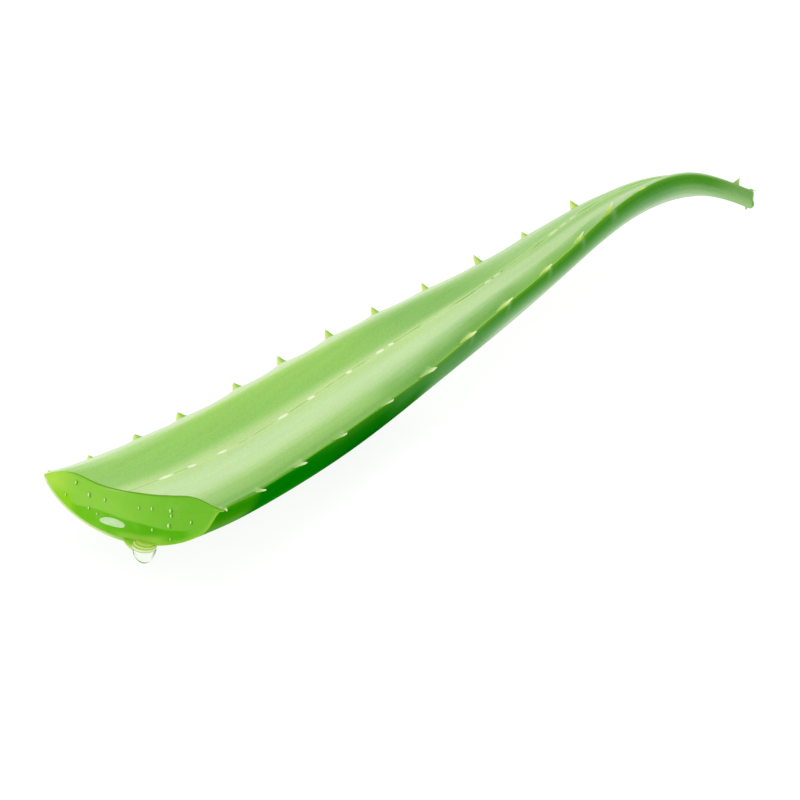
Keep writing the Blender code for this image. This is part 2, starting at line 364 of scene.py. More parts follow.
# %% Distances measured round the skin
def round_the_skin(points):
    """Length in mm round the section from the grid's first column, for each vertex."""
    rows = points.reshape(-1, AROUND + 1, 3)
    steps = np.linalg.norm(np.diff(rows, axis=1), axis=2)
    return np.concatenate([np.zeros((len(rows), 1)), np.cumsum(steps, axis=1)], axis=1)


def same_at_seam(values, keep):
    """Gives both edges of the grid, which are welded later, the value of one of them."""
    values = values.reshape(-1, AROUND + 1).copy()
    values[:, 0 if keep == -1 else -1] = values[:, keep]
    return values.ravel()


around = round_the_skin(points)
middle = around[:, AROUND // 2:AROUND // 2 + 1]
margin_mm = same_at_seam(np.maximum(middle - around, 0), 0)
near_mm = margin_mm - margin_shift(s, 1)
far_mm = np.minimum(around, around[:, -1:] - around).ravel() - margin_shift(s, -1)
down_mm = same_at_seam(np.maximum(around - middle, 0), -1)
print("round the skin at the cut, mm:", round(float(around[FACE_ROWS + RIND_ROWS, -1]), 1))

# %% Midline and its flecks
MID_SHARE = (0.0, 0.09, 0.18, 0.25, 0.33, 0.42, 0.50, 0.57, 0.64, 0.72, 0.77, 0.85, 1.0)
MID_SIDE_MM = (-1.2, -1.5, 0.0, -0.5, -1.5, -1.9, -1.9, -1.8, -3.1, -4.3, -5.1, -4.8, -2.0)
FLECKS_MM = (  # where along the leaf, how long
    (20.4, 8.5), (31.7, 3.8), (43.2, 4.0), (66.9, 5.0), (79.6, 3.9), (98.1, 3.2), (113.5, 4.4),
    (118.8, 2.5), (168.2, 5.0), (173.6, 5.0), (202.5, 5.0), (206.9, 3.0), (210.8, 2.8),
)
walk_mm = s * LENGTH_MM
from_mid = side_mm - np.interp(s, MID_SHARE, MID_SIDE_MM)
fleck = np.zeros_like(s)
for middle_mm, long_mm in FLECKS_MM:
    fleck = np.maximum(fleck, 1 - (2 * (walk_mm - middle_mm) / long_mm) ** 2)
print("flecks:", len(FLECKS_MM))

# %% Beside the near teeth: a painted highlight, painted shade in the dip behind, a streak down the flank, and the lime edge
TOOTH_HIGHLIGHT_AHEAD_MM, TOOTH_HIGHLIGHT_BACK_MM, TOOTH_HIGHLIGHT_FRONT_MM, TOOTH_HIGHLIGHT_IN_MM, TOOTH_HIGHLIGHT_WIDE_MM = 0.8, 3.4, 0.7, 1.1, 0.8
DIP_WALKS_MM, DIP_AHEAD_MM, DIP_LONG_MM, DIP_IN_MM, DIP_WIDE_MM = (80, 210), 7.0, 6.0, 3.4, 2.3
STREAK_WALKS_MM, STREAK_AHEAD_MM, STREAK_SLANT, STREAK_WIDE_MM = (120, 222), 1.2, 0.1, 1.2
STREAK_DOWN_MM, STREAK_POWER = 4.0, 0.7
WEDGE_WALKS_MM, WEDGE_AHEAD_MM, WEDGE_RUN_MM, WEDGE_MM, WEDGE_STRENGTH = (100, 240), 1.5, 3.0, 0.6, 0.5
LIME_MM = ((0, 0.3, 0.45), (0.16, 0.16, 0.24))
LIME_STRENGTH = ((0, 0.33, 0.45, 0.72, 0.78), (0.4, 0.4, 0.5, 0.5, 0.0))
LIME_ABOVE, LIME_UNDER, LIME_UNDER_REACH = 1.4, 1.2, 0.55


def pulse(distance, width):
    return np.exp(-(distance / width) ** 2)


tooth_highlight, dip_shade, streak, wedge = (np.zeros_like(s) for _ in range(4))
lime_mm = np.interp(s, *LIME_MM)
for walk, height, *_ in NEAR_TEETH_MM:
    ahead = walk_mm - walk
    past = ahead - TOOTH_HIGHLIGHT_AHEAD_MM
    beside = pulse(past, np.where(past < 0, TOOTH_HIGHLIGHT_BACK_MM, TOOTH_HIGHLIGHT_FRONT_MM)) \
        * pulse(margin_mm - TOOTH_HIGHLIGHT_IN_MM, TOOTH_HIGHLIGHT_WIDE_MM)
    tooth_highlight = np.maximum(tooth_highlight, beside * ~below * min(height, 1.0))
    if DIP_WALKS_MM[0] < walk < DIP_WALKS_MM[1]:
        hollow = pulse(ahead - DIP_AHEAD_MM, DIP_LONG_MM) * pulse(margin_mm - DIP_IN_MM, DIP_WIDE_MM)
        dip_shade = np.maximum(dip_shade, hollow * ~below)
    if STREAK_WALKS_MM[0] < walk < STREAK_WALKS_MM[1]:
        fade = (1 - np.clip(down_mm / STREAK_DOWN_MM, 0, 1)) ** STREAK_POWER
        run = pulse(ahead - STREAK_AHEAD_MM + STREAK_SLANT * down_mm, STREAK_WIDE_MM)
        streak = np.maximum(streak, run * below * fade)
    if WEDGE_WALKS_MM[0] < walk < WEDGE_WALKS_MM[1]:
        reach = np.exp(-np.maximum(WEDGE_AHEAD_MM - ahead, 0) / WEDGE_RUN_MM) * (ahead < WEDGE_AHEAD_MM)
        wedge = np.maximum(wedge, reach)
        lime_mm = np.maximum(lime_mm, LIME_MM[1][-1] + WEDGE_MM * reach)
lime = np.clip(np.where(below, LIME_UNDER - down_mm / (LIME_UNDER_REACH * lime_mm),
                        LIME_ABOVE - margin_mm / lime_mm), 0, 1)
lime = lime * np.minimum(np.interp(s, *LIME_STRENGTH) + WEDGE_STRENGTH * wedge, 1) * (x > 0)
on_skin = row >= FACE_ROWS + RIND_ROWS
print("marks beside", len(NEAR_TEETH_MM), "teeth")

# %% Where each vertex of the cut face lies on it, and all the numbers handed to the mesh
NO_EDGE_NEAR_MM = 9.0
on_outline = row == FACE_ROWS + RIND_ROWS
outline = np.stack([side_mm[on_outline], height_mm[on_outline]], axis=1)
edge_mm = np.full_like(s, NO_EDGE_NEAR_MM)
for i in np.flatnonzero(row <= FACE_ROWS + RIND_ROWS):
    edge_mm[i] = np.hypot(*(outline - (side_mm[i], height_mm[i])).T).min()
vertex_values = {
    "along": s, "across": x, "near_mm": near_mm, "far_mm": far_mm, "down_mm": down_mm,
    "from_mid_mm": from_mid, "fleck": fleck, "tooth_highlight": tooth_highlight * on_skin, "dip_shade": dip_shade * on_skin,
    "streak": streak * on_skin, "lime": lime * on_skin, "face_x": side_mm / half_width(np.zeros(1))[0],
    "face_down": -height_mm / math.exp(log_depth(np.zeros(1))[0]), "edge_mm": edge_mm,
}
for name, values in vertex_values.items():
    add_attribute(leaf.data, name, values)
print("numbers on each vertex:", sorted(vertex_values))

# %% Weld the seam and the poles
close_up(leaf, weld=1e-6)
bpy.ops.object.shade_smooth_by_angle(angle=math.radians(50))
print("leaf_body:", len(leaf.data.vertices), "vertices,", len(leaf.data.polygons), "faces")

# %% [markdown]
# ## The teeth
#
# Each margin carries small thorns, green where they grow out of the skin and pale and horny at
# the point. They are all one shape, so one is modelled as a column, cut into rings that are drawn
# in to a point, and the rest are copies of it. Each copy follows the bent margin it grows from:
# its foot is stretched along the edge and its point leans towards the tip of the leaf. Near
# teeth swell a little on their upper side, and far teeth are drawn in to a slight hollow.

# %% One tooth, as a column cut into rings
TOOTH_RINGS = (  # height, size
    (0.0, 1.0), (0.12, 0.86), (0.26, 0.72), (0.42, 0.57), (0.58, 0.43), (0.74, 0.28), (0.88, 0.14),
    (1.0, 0.02),
)
tooth = start_from(bpy.ops.mesh.primitive_cylinder_add, "tooth", vertices=20, radius=1.0, depth=1.0,
                   end_fill_type="NGON", location=(0, 0, 0.5))
bpy.ops.object.transform_apply(location=True, rotation=True, scale=True)
bpy.ops.object.mode_set(mode="EDIT")
for height, size in TOOTH_RINGS[1:-1]:
    bpy.ops.mesh.select_all(action="SELECT")
    bpy.ops.mesh.bisect(plane_co=(0, 0, height), plane_no=(0, 0, 1))
for height, size in TOOTH_RINGS:
    bpy.ops.mesh.select_all(action="DESELECT")
    bpy.ops.object.mode_set(mode="OBJECT")
    for vertex in tooth.data.vertices:
        vertex.select = abs(vertex.co.z - height) < 1e-4
    bpy.ops.object.mode_set(mode="EDIT")
    bpy.ops.transform.resize(value=(size, size, 1), center_override=(0, 0, 0))
bpy.ops.object.mode_set(mode="OBJECT")
print("one tooth:", len(tooth.data.vertices), "vertices")

# %% Copy it to every place on the margins
TOOTH_SINK, TOOTH_INWARDS, LEAN_POWER = 0.3, 0.35, 1.4
UNDER_TOOTH_ACROSS, TIP_TEETH_FROM_MM = -0.8, 240
FAR_HOLLOW, NEAR_FULL = 0.12, -0.3
NEAR_FLAT, NEAR_BULGE = 0.45, 1.25
tooth_x, tooth_y, tooth_t = vertex_array(tooth.data).T
ring_size = np.interp(tooth_t, *zip(*TOOTH_RINGS))


def margin_point(walk, side):
    """Points on a margin in mm at distances along the leaf; beyond its ends they run straight on."""
    s = np.clip(walk / LENGTH_MM, 0, 1)
    if side:
        across = side * (half_width(s) + margin_shift(s, side))
        height = upper_height(np.full_like(s, side), s)
    else:
        across = UNDER_TOOTH_ACROSS * half_width(s)
        height = belly_height(np.full_like(s, UNDER_TOOTH_ACROSS), s)
    return place(s, across, height, walk - s * LENGTH_MM)


def tooth_copy(side, walk, tall, behind, ahead, lean, thick, lift_deg):
    _, along, across, out = (v[0] for v in leaf_axes(np.array([walk / LENGTH_MM])))
    lift = math.radians(lift_deg)
    rise = across * side * math.cos(lift) + out * math.sin(lift) if side else -out
    through = np.cross(rise, along)
    slender = ring_size ** (FAR_HOLLOW if side < 0 or walk > TIP_TEETH_FROM_MM else 0.0)
    full = ring_size ** (NEAR_FULL if side > 0 else 0.0)
    forward = np.where(tooth_x < 0, behind, ahead) * tooth_x * slender + lean * tooth_t**LEAN_POWER
    moved = margin_point(walk + forward, side)
    moved += rise * (tall * tooth_t - TOOTH_SINK * (1 - tooth_t))[:, None]
    bulge = np.where(tooth_y < 0, NEAR_FLAT, NEAR_BULGE) if side > 0 else 1.0
    moved += through * (thick * (tooth_y * bulge * full + TOOTH_INWARDS * (side > 0)))[:, None]
    copy = bpy.data.objects.new("tooth_copy", tooth.data.copy())
    bpy.context.scene.collection.objects.link(copy)
    set_vertices(copy.data, moved * MM)
    everywhere = np.ones_like(tooth_t)
    for name, values in (("rise", tooth_t), ("near_side", everywhere * (side > 0)),
                         ("upper_face", side * tooth_y / ring_size), ("front", tooth_x / ring_size),
                         ("along", everywhere * walk / LENGTH_MM)):
        add_attribute(copy.data, name, values)
    return copy


families = ((1, NEAR_TEETH_MM), (-1, FAR_TEETH_MM), (0, UNDER_TEETH_MM))
copies = [tooth_copy(side, *sizes) for side, family in families for sizes in family]
bpy.data.objects.remove(tooth)
teeth = join_pieces(copies, "leaf_teeth")
close_up(teeth)
bpy.ops.object.shade_smooth()
print("leaf_teeth:", len(copies), "teeth,", len(teeth.data.polygons), "faces")

# %% [markdown]
# ## The gel
#
# Gel wells out of the cut, stands on it in small beads and hangs from the lower lip in a clear
# drop. The drop is built upwards from its lowest point: a circle is extruded ring by ring, each
# ring resized as the drop swells and draws in to its neck. Thicker, greener gel sags round that
# neck in soft folds; it is built the same way. A Subdivision Surface modifier then makes both as
# smooth as surface tension does. A web of the same gel runs out along the lip, and since it only
# has to taper, it is a ball drawn out into a horn.

# %% The hanging drop
DROP_FOOT_MM = (-127.6, 1.1, 3.85)
DROP_RINGS_MM = (  # up from the foot, half depth and half width, centre back and to the far side
    (0.10, 0.75, 0.75, 0.0, 0.0), (0.42, 1.35, 1.35, 0.0, 0.0), (0.95, 1.90, 1.90, 0.0, 0.0),
    (1.65, 2.40, 2.40, 0.0, 0.0), (2.45, 2.80, 2.80, 0.05, 0.0), (3.15, 2.98, 3.10, 0.15, 0.05),
    (3.60, 3.00, 3.25, 0.25, 0.10), (3.95, 3.00, 3.35, 0.30, 0.12), (4.40, 2.95, 3.40, 0.32, 0.18),
    (4.80, 2.50, 3.00, 0.60, 0.30), (5.10, 1.90, 2.40, 1.20, 0.40),
)
SKIRT_RINGS_MM = (
    (4.30, 2.60, 3.00, 0.30, 0.15), (4.45, 3.00, 3.45, 0.30, 0.15), (4.83, 3.05, 3.50, 0.35, 0.20),
    (5.02, 3.05, 3.55, 0.50, 0.25), (5.18, 2.80, 3.40, 0.75, 0.30), (5.30, 2.60, 3.30, 1.00, 0.35),
    (5.42, 2.35, 3.10, 1.15, 0.40), (5.52, 2.05, 2.80, 1.35, 0.45), (5.60, 1.80, 2.60, 1.50, 0.50),
    (5.68, 1.40, 2.20, 1.75, 0.60), (5.76, 0.80, 1.40, 2.10, 0.70),
)
PICTURE_RIGHT = (0.588, -0.809)  # the level direction that points right in the picture


def ring_centre(ring):
    return [(foot + offset) * MM for foot, offset in zip(DROP_FOOT_MM, (ring[3], ring[4], ring[0]))]


def gel_of_rings(name, rings):
    """A closed, smooth body through level rings, each given as in the tables above."""
    start = ring_centre(rings[0])
    body = start_from(bpy.ops.mesh.primitive_circle_add, name,
                      vertices=32, radius=MM, fill_type="NGON", location=start)
    bpy.ops.object.transform_apply(location=True, rotation=True, scale=True)
    bpy.ops.object.mode_set(mode="EDIT")
    bpy.ops.mesh.select_all(action="SELECT")
    bpy.ops.transform.resize(value=(rings[0][1], rings[0][2], 1), center_override=start)
    for last, ring in zip(rings, rings[1:]):
        bpy.ops.mesh.extrude_region_move()
        bpy.ops.transform.translate(value=[(ring[i] - last[i]) * MM for i in (3, 4, 0)])
        bpy.ops.transform.resize(value=(ring[1] / last[1], ring[2] / last[2], 1),
                                 center_override=ring_centre(ring))
    bpy.ops.object.mode_set(mode="OBJECT")
    close_up(body, weld=1e-7)
    smoother = body.modifiers.new("surface_tension", "SUBSURF")
    smoother.levels = smoother.render_levels = 2
    bpy.ops.object.modifier_apply(modifier=smoother.name)
    bpy.ops.object.shade_smooth()
    print(name, "faces:", len(body.data.polygons))
    return body


drop = gel_of_rings("hanging_drop", DROP_RINGS_MM)
# which way each point of the drop faces towards the picture's right; the clear gel's painted shade and glow
# follow it
facing = np.array([tuple(vertex.normal) for vertex in drop.data.vertices])
add_attribute(drop.data, "rim_side", facing[:, :2] @ PICTURE_RIGHT)
skirt = gel_of_rings("gel_skirt", SKIRT_RINGS_MM)
add_attribute(skirt.data, "up_mm", vertex_array(skirt.data)[:, 2] / MM - DROP_FOOT_MM[2])

# %% The web of gel along the lip
# its middle, and how it runs on towards its thin end, from the foot: back, to the far side, up
WEB_MIDDLE_MM, WEB_RUN_MM = (-0.35, 4.7, 4.75), (0.75, 3.4, 0.3)
WEB_DEPTH_MM, WEB_DOWN_MM, WEB_UP_MM, WEB_TAPER = 1.3, 1.15, 0.5, 0.5
WEB_SHADING_AT_MM, WEB_SHADING_AS_MM = (3.4, 3.9, 4.2, 4.8, 5.2), (5.28, 5.36, 5.54, 5.65, 5.76)
web = start_from(bpy.ops.mesh.primitive_uv_sphere_add, "gel_web", segments=48, ring_count=24, radius=MM)
bpy.ops.object.mode_set(mode="EDIT")
bpy.ops.transform.rotate(value=math.radians(90), orient_axis="X", center_override=(0, 0, 0))
bpy.ops.object.mode_set(mode="OBJECT")
back, onward, up = vertex_array(web.data).T / MM
slim = 1 - WEB_TAPER * onward
web_offset = np.stack([WEB_DEPTH_MM * slim * back, np.zeros_like(onward),
                       np.where(up > 0, WEB_UP_MM, WEB_DOWN_MM) * slim * up], axis=1)
web_mm = np.array(DROP_FOOT_MM) + np.array(WEB_MIDDLE_MM) + onward[:, None] * np.array(WEB_RUN_MM)
set_vertices(web.data, (web_mm + web_offset) * MM)
bpy.ops.object.shade_smooth()
web_up_mm = vertex_array(web.data)[:, 2] / MM - DROP_FOOT_MM[2]
# the web's heights are mapped onto the folds' painted highlights and painted shade
add_attribute(web.data, "up_mm", np.interp(web_up_mm, WEB_SHADING_AT_MM, WEB_SHADING_AS_MM))
print("gel_web faces:", len(web.data.polygons))

# %% [markdown]
# ### Beads, and a painted reflection, on the cut face
#
# Where the knife opened the jelly, sap stands on it in small beads. Low down a long, low lens of
# gel carries a pale painted reflection. A ball, flattened and turned to lie on the face, is all
# that each needs. It is set on the domed flesh, as far out as the flesh stands there, so none floats.

# %% Where the cut face is, and how far its flesh stands proud
AT_CUT = np.zeros(1)
CUT_HALF_MM, CUT_DEPTH_MM = half_width(AT_CUT)[0], math.exp(log_depth(AT_CUT)[0])
_, _, cut_across, cut_out = (v[0] for v in leaf_axes(AT_CUT))
cut_turn = np.stack([cut_across, cut_out, np.cross(cut_across, cut_out)], axis=1)


def cut_point(x, down, proud):
    """A point on the cut face in mm: x across it, down as a share of the leaf's depth there."""
    return place(AT_CUT, np.array([x * CUT_HALF_MM]), np.array([-down * CUT_DEPTH_MM]), -proud)[0]


def face_dome_at(x, down):
    """How far the cut flesh stands proud at a point of the face, in mm."""
    start = np.array([FACE_CENTRE[0] * CUT_HALF_MM, -FACE_CENTRE[1] * CUT_DEPTH_MM])
    here = np.array([x * CUT_HALF_MM, -down * CUT_DEPTH_MM]) - start
    k = 1.0
    for trial in np.linspace(0.02, 1, 99):
        side, height = start + here / trial
        x_there = np.array([side / CUT_HALF_MM])
        if abs(side) < CUT_HALF_MM \
                and belly_height(x_there, AT_CUT)[0] < height < upper_height(x_there, AT_CUT)[0]:
            k = trial
            break
    return FACE_DOME_MM * (1 - k**DOME_POWER)


print("cut face, mm:", round(2 * CUT_HALF_MM, 1), "wide,", round(CUT_DEPTH_MM, 1), "deep")

# %% Beads on the cut face: across, down, radius in mm
BEADS = (
    (-0.648, 0.054, 0.52), (-0.771, 0.325, 0.42), (-0.495, 0.235, 0.62), (-0.313, 0.272, 0.52),
    (-0.503, 0.488, 0.46), (-0.407, 0.571, 0.38), (0.071, 0.298, 0.42), (0.217, 0.269, 0.52),
    (0.424, 0.239, 0.60), (0.429, 0.335, 0.50), (0.640, 0.395, 0.46), (0.400, 0.532, 0.66),
    (0.215, 0.670, 0.46), (0.404, 0.797, 0.34),
)
BEAD_SHIFT, BEAD_STRETCH = (0.024, -0.025), (0.9, 1.25, 0.5)
# where on each bead its painted highlight sits, and how big it is
BEAD_HIGHLIGHT_AT, BEAD_HIGHLIGHT_SIZE = (-0.2, 0.1, 0.55), (0.55, 1.35, 1.0)
bead_copies = []
for bead_x, bead_down, radius in BEADS:
    bead_x, bead_down = bead_x + BEAD_SHIFT[0], bead_down + BEAD_SHIFT[1]
    centre = cut_point(bead_x, bead_down, face_dome_at(bead_x, bead_down))
    bead = start_from(bpy.ops.mesh.primitive_uv_sphere_add, "bead",
                      segments=20, ring_count=12, radius=radius * MM)
    resize_all(BEAD_STRETCH)
    local = vertex_array(bead.data)
    set_vertices(bead.data, centre * MM + local @ cut_turn.T)
    from_highlight = (local / (radius * MM) - BEAD_HIGHLIGHT_AT) / BEAD_HIGHLIGHT_SIZE
    add_attribute(bead.data, "from_bead_highlight", np.linalg.norm(from_highlight, axis=1))
    bead_copies.append(bead)
beads = join_pieces(bead_copies, "gel_beads")
bpy.ops.object.shade_smooth()
print("gel_beads:", len(BEADS), "beads")

# %% The long lens of gel low on the cut face, painted pale as a reflection
REFLECTION_AT, REFLECTION_HALF_MM, REFLECTION_TILT_DEG = (-0.213, 0.640), (4.0, 1.25, 0.45), -1.5
REFLECTION_BLUNT, REFLECTION_SLIM, REFLECTION_SAG, REFLECTION_SINK_MM = 0.6, 0.1, 0.3, 0.05
reflection_lens = start_from(bpy.ops.mesh.primitive_uv_sphere_add, "painted_reflection",
                     segments=48, ring_count=16, radius=MM)
resize_all(REFLECTION_HALF_MM)
local = vertex_array(reflection_lens.data) / MM
end_share = local[:, 0] / REFLECTION_HALF_MM[0]
blunt = np.sqrt((1 - end_share**4 + 1e-6) / (1 - end_share**2 + 1e-6))
local[:, 1] *= np.where(end_share > 0, 1 + REFLECTION_BLUNT * (blunt - 1), 1 + REFLECTION_SLIM * end_share)
local[:, 1] -= REFLECTION_SAG * end_share**2
tilt = math.radians(REFLECTION_TILT_DEG)
local[:, :2] = local[:, :2] @ np.array([[math.cos(tilt), math.sin(tilt)], [-math.sin(tilt), math.cos(tilt)]])
reflection_centre = cut_point(*REFLECTION_AT, face_dome_at(*REFLECTION_AT) - REFLECTION_SINK_MM)
set_vertices(reflection_lens.data, (reflection_centre + local @ cut_turn.T) * MM)
bpy.ops.object.shade_smooth()
print("painted_reflection at", reflection_centre.round(2))

# %% [markdown]
# ## Materials
#
# The finishes are built from nodes. A few small helpers keep that readable. They work on the
# node tree that is being built, which is always called tree. One adds a node, sets its options,
# and feeds its inputs either from a value or from another node's output. Others mix colours,
# which are written as on a paint chart: red, green and blue from 0 to 255.


# %% Helpers for node trees
def linear(red, green, blue):
    """A paint chart's colour turned into the light values that nodes use."""
    def one(c):
        c /= 255
        return c / 12.92 if c <= 0.04045 else ((c + 0.055) / 1.055) ** 2.4
    return (one(red), one(green), one(blue), 1.0)


def feed(node, inputs):
    for key, value in inputs.items():
        if isinstance(value, bpy.types.NodeSocket):
            tree.links.new(value, node.inputs[key])
        else:
            node.inputs[key].default_value = value


def add_node(kind, inputs, **options):
    node = tree.nodes.new(kind)
    for key, value in options.items():
        setattr(node, key, value)
    feed(node, inputs)
    return node


def attribute(name):
    return add_node("ShaderNodeAttribute", {}, attribute_name=name).outputs["Fac"]


def step(value, low, high, to_low=0.0, to_high=1.0):
    """Smooth step of a value between low and high."""
    sockets = {"Value": value, "From Min": low, "From Max": high, "To Min": to_low, "To Max": to_high}
    return add_node("ShaderNodeMapRange", sockets, interpolation_type="SMOOTHSTEP").outputs["Result"]


def maths(operation, a, b=0.0, c=0.0, clamp=False):
    return add_node("ShaderNodeMath", {0: a, 1: b, 2: c},
                    operation=operation, use_clamp=clamp).outputs[0]


def times(first, *others):
    for other in others:
        first = maths("MULTIPLY", first, other)
    return first


def mix(factor, a, b):
    a, b = (linear(*colour) if isinstance(colour, tuple) else colour for colour in (a, b))
    return add_node("ShaderNodeMix", {0: factor, 6: a, 7: b}, data_type="RGBA").outputs[2]


def painted(colour, *coats):
    """Lays coats over a colour, one after the other; each is a mask and its own colour."""
    for mask, coat in coats:
        colour = mix(mask, colour, coat)
    return colour


def ramp(value, stops, reach=1.0):
    """Colours along a value; each stop is where it is, up to the reach, and a paint chart's colour."""
    node = add_node("ShaderNodeValToRGB", {"Fac": maths("DIVIDE", value, reach)})
    node.color_ramp.interpolation = "EASE"
    elements = node.color_ramp.elements
    while len(elements) < len(stops):
        elements.new(0.5)
    for element, (at, *colour) in zip(elements, stops):
        element.position, element.color = at / reach, linear(*colour)
    return node.outputs["Color"]


def relief(height, strength, distance):
    return add_node("ShaderNodeBump", {"Height": height, "Strength": strength,
                                             "Distance": distance}).outputs["Normal"]


def new_material(name):
    material = bpy.data.materials.new(name)
    material.use_nodes = True
    print("material:", name)
    return material, material.node_tree, material.node_tree.nodes["Principled BSDF"]


# %% [markdown]
# ### Grain that every living surface shares
#
# Leaf skin is never one even colour: it has a fine grain of cells and soft cloudy patches.
# Skin, teeth, rind and gel all need it, so it is one node group with its own scales.

# %% The grain group
grain_group = tree = bpy.data.node_groups.new("leaf_grain", "ShaderNodeTree")
group_in, group_out = add_node("NodeGroupInput", {}), add_node("NodeGroupOutput", {})
where = add_node("ShaderNodeTexCoord", {}).outputs["Object"]
for layer, scale, detail, roughness in (("Grain", 1500.0, 2.0, 0.6), ("Cloud", 60.0, 3.0, 0.55)):
    for socket_name, way in ((layer + " Scale", "INPUT"), (layer, "OUTPUT")):
        grain_group.interface.new_socket(socket_name, in_out=way, socket_type="NodeSocketFloat")
    grain_group.interface.items_tree[layer + " Scale"].default_value = scale
    noise = add_node("ShaderNodeTexNoise", {
        "Vector": where, "Scale": group_in.outputs[layer + " Scale"], "Detail": detail,
        "Roughness": roughness})
    feed(group_out, {layer: noise.outputs["Fac"]})


def grain(grain_scale, cloud_scale):
    """The fine grain and the soft clouds, at their own scales."""
    node = add_node("ShaderNodeGroup", {"Grain Scale": grain_scale, "Cloud Scale": cloud_scale},
                    node_tree=grain_group)
    return node.outputs["Grain"], node.outputs["Cloud"]


print("node group:", grain_group.name)

# %% [markdown]
# ### The skin
#
# Seen from above the blade is banded along its length: a pale waxy rim, a mid-green band, the
# midline with its pale flecks, then a broad band of powdery bloom with a painted sheen on it, and a
# greener strip with painted shade inside the near margin. The margin itself is a thin yellow-green
# line. The flanks under it are a deep green with painted shade near the cut, and a painted sheen
# makes them paler towards the tip. Each band table below holds from where to where along the leaf
# it comes in, and then its colours by their distance from the margin.

# %% What both skins share: bands of colour, and streaks along the leaf
SKIN_GRAIN_SCALE, SKIN_CLOUD_SCALE = 1700.0, 70.0
STREAK_LONG_MM, STREAKS_PER_MM = 34.0, 0.3


def banded(from_margin, reach_mm, along, tables):
    first, *later = (ramp(from_margin, stops, reach_mm) for _, stops in tables)
    shares = [share for share, _ in tables[1:]]
    return painted(first, *((step(along, *share), band) for share, band in zip(shares, later)))


def scaled(colour, factor):
    """A colour made lighter or darker by a factor near 1."""
    return add_node("ShaderNodeVectorMath", {0: colour, "Scale": factor},
                    operation="SCALE").outputs["Vector"]


def along_streaks(along, round_mm):
    on_leaf = add_node("ShaderNodeCombineXYZ", {"X": times(along, LENGTH_MM / STREAK_LONG_MM),
                                                      "Y": times(round_mm, STREAKS_PER_MM)})
    return add_node("ShaderNodeTexNoise", {
        "Vector": on_leaf.outputs["Vector"], "Scale": 1.0, "Detail": 4.0, "Roughness": 0.62}).outputs["Fac"]


def weathered(colour, streaks, fine, streak_depth, grain_depth):
    colour = scaled(colour, step(streaks, 0.25, 0.75, 1 - streak_depth, 1 + streak_depth))
    return scaled(colour, step(fine, 0.28, 0.72, 1 - grain_depth, 1 + grain_depth))


# %% Skin colour of the upper side, from each margin inwards, with painted sheen and painted shade on the near side
FAR_REACH_MM, NEAR_REACH_MM = 18.0, 13.0
FAR_BANDS = (
    ((0, 0), (
        (0, 216, 237, 197), (1.2, 212, 236, 187), (2.1, 207, 234, 177), (3, 196, 227, 158),
        (4, 181, 220, 136), (5, 176, 219, 127), (7, 171, 216, 123), (10.5, 152, 205, 100),
        (18, 150, 203, 102))),
    ((0.10, 0.19), (
        (0, 228, 241, 210), (1.5, 219, 238, 198), (2.4, 212, 235, 187), (4, 206, 231, 174),
        (4.9, 199, 229, 158), (5.6, 182, 220, 130), (6.5, 167, 214, 109), (8.2, 155, 207, 99),
        (18, 149, 202, 100))),
    ((0.36, 0.50), (
        (0, 208, 231, 176), (1.2, 214, 236, 188), (2, 206, 230, 180), (3, 192, 222, 162),
        (4, 181, 216, 148), (5, 169, 209, 131), (6.3, 149, 198, 109), (8.5, 141, 193, 101),
        (18, 148, 197, 108))),
    ((0.56, 0.70), (
        (0, 199, 225, 177), (1, 192, 222, 167), (2, 190, 220, 163), (3, 185, 219, 157),
        (4, 178, 214, 148), (5, 172, 211, 141), (6.5, 164, 206, 130), (9.6, 160, 203, 123),
        (18, 158, 202, 121))),
)
# the near side grows paler inwards with a painted sheen, and its darker strip just inside the margin is
# painted shade
NEAR_SHEEN_AND_SHADE_BANDS = (
    ((0, 0), (
        (0, 60, 146, 14), (0.5, 100, 168, 44), (0.95, 134, 190, 88), (2, 133, 185, 94),
        (4, 152, 199, 108), (6, 161, 205, 117), (8, 176, 215, 135), (10, 189, 222, 151),
        (13, 198, 227, 164))),
    ((0.29, 0.38), (
        (0, 121, 178, 72), (0.5, 124, 179, 78), (1.4, 117, 173, 80), (2, 121, 175, 86),
        (3, 134, 184, 98), (4, 144, 192, 109), (6, 161, 204, 126), (9, 180, 215, 147),
        (13, 194, 224, 161))),
    ((0.53, 0.62), (
        (0, 128, 187, 84), (0.5, 132, 188, 90), (1.4, 135, 188, 96), (2, 139, 190, 101),
        (3, 148, 195, 108), (4, 158, 202, 118), (6, 171, 209, 134), (9, 184, 217, 150),
        (13, 194, 223, 160))),
    ((0.70, 0.84), (
        (0, 147, 191, 97), (0.5, 159, 197, 114), (0.9, 172, 208, 139), (1.4, 183, 215, 159),
        (2.5, 189, 217, 169), (4, 190, 219, 172), (6, 178, 212, 151), (8, 175, 210, 143),
        (13, 190, 221, 166))),
)
skin, tree, shader = new_material("leaf_skin")
along, across = attribute("along"), attribute("across")
near, far = attribute("near_mm"), attribute("far_mm")
high_part = step(along, 0.42, 0.70)
# the pale colours beside the midline and over the near half are waxy bloom with a painted sheen on it
bloom_and_sheen_by_line = mix(high_part, (191, 223, 147), (188, 219, 156))
bloom_and_sheen = mix(high_part, (198, 227, 165), (187, 218, 154))
colour = painted(
    banded(far, FAR_REACH_MM, along, FAR_BANDS),
    (step(across, -0.29, -0.05), mix(step(across, 0.0, 0.2), bloom_and_sheen_by_line, bloom_and_sheen)),
    (step(across, 0.20, 0.66), banded(near, NEAR_REACH_MM, along, NEAR_SHEEN_AND_SHADE_BANDS)))

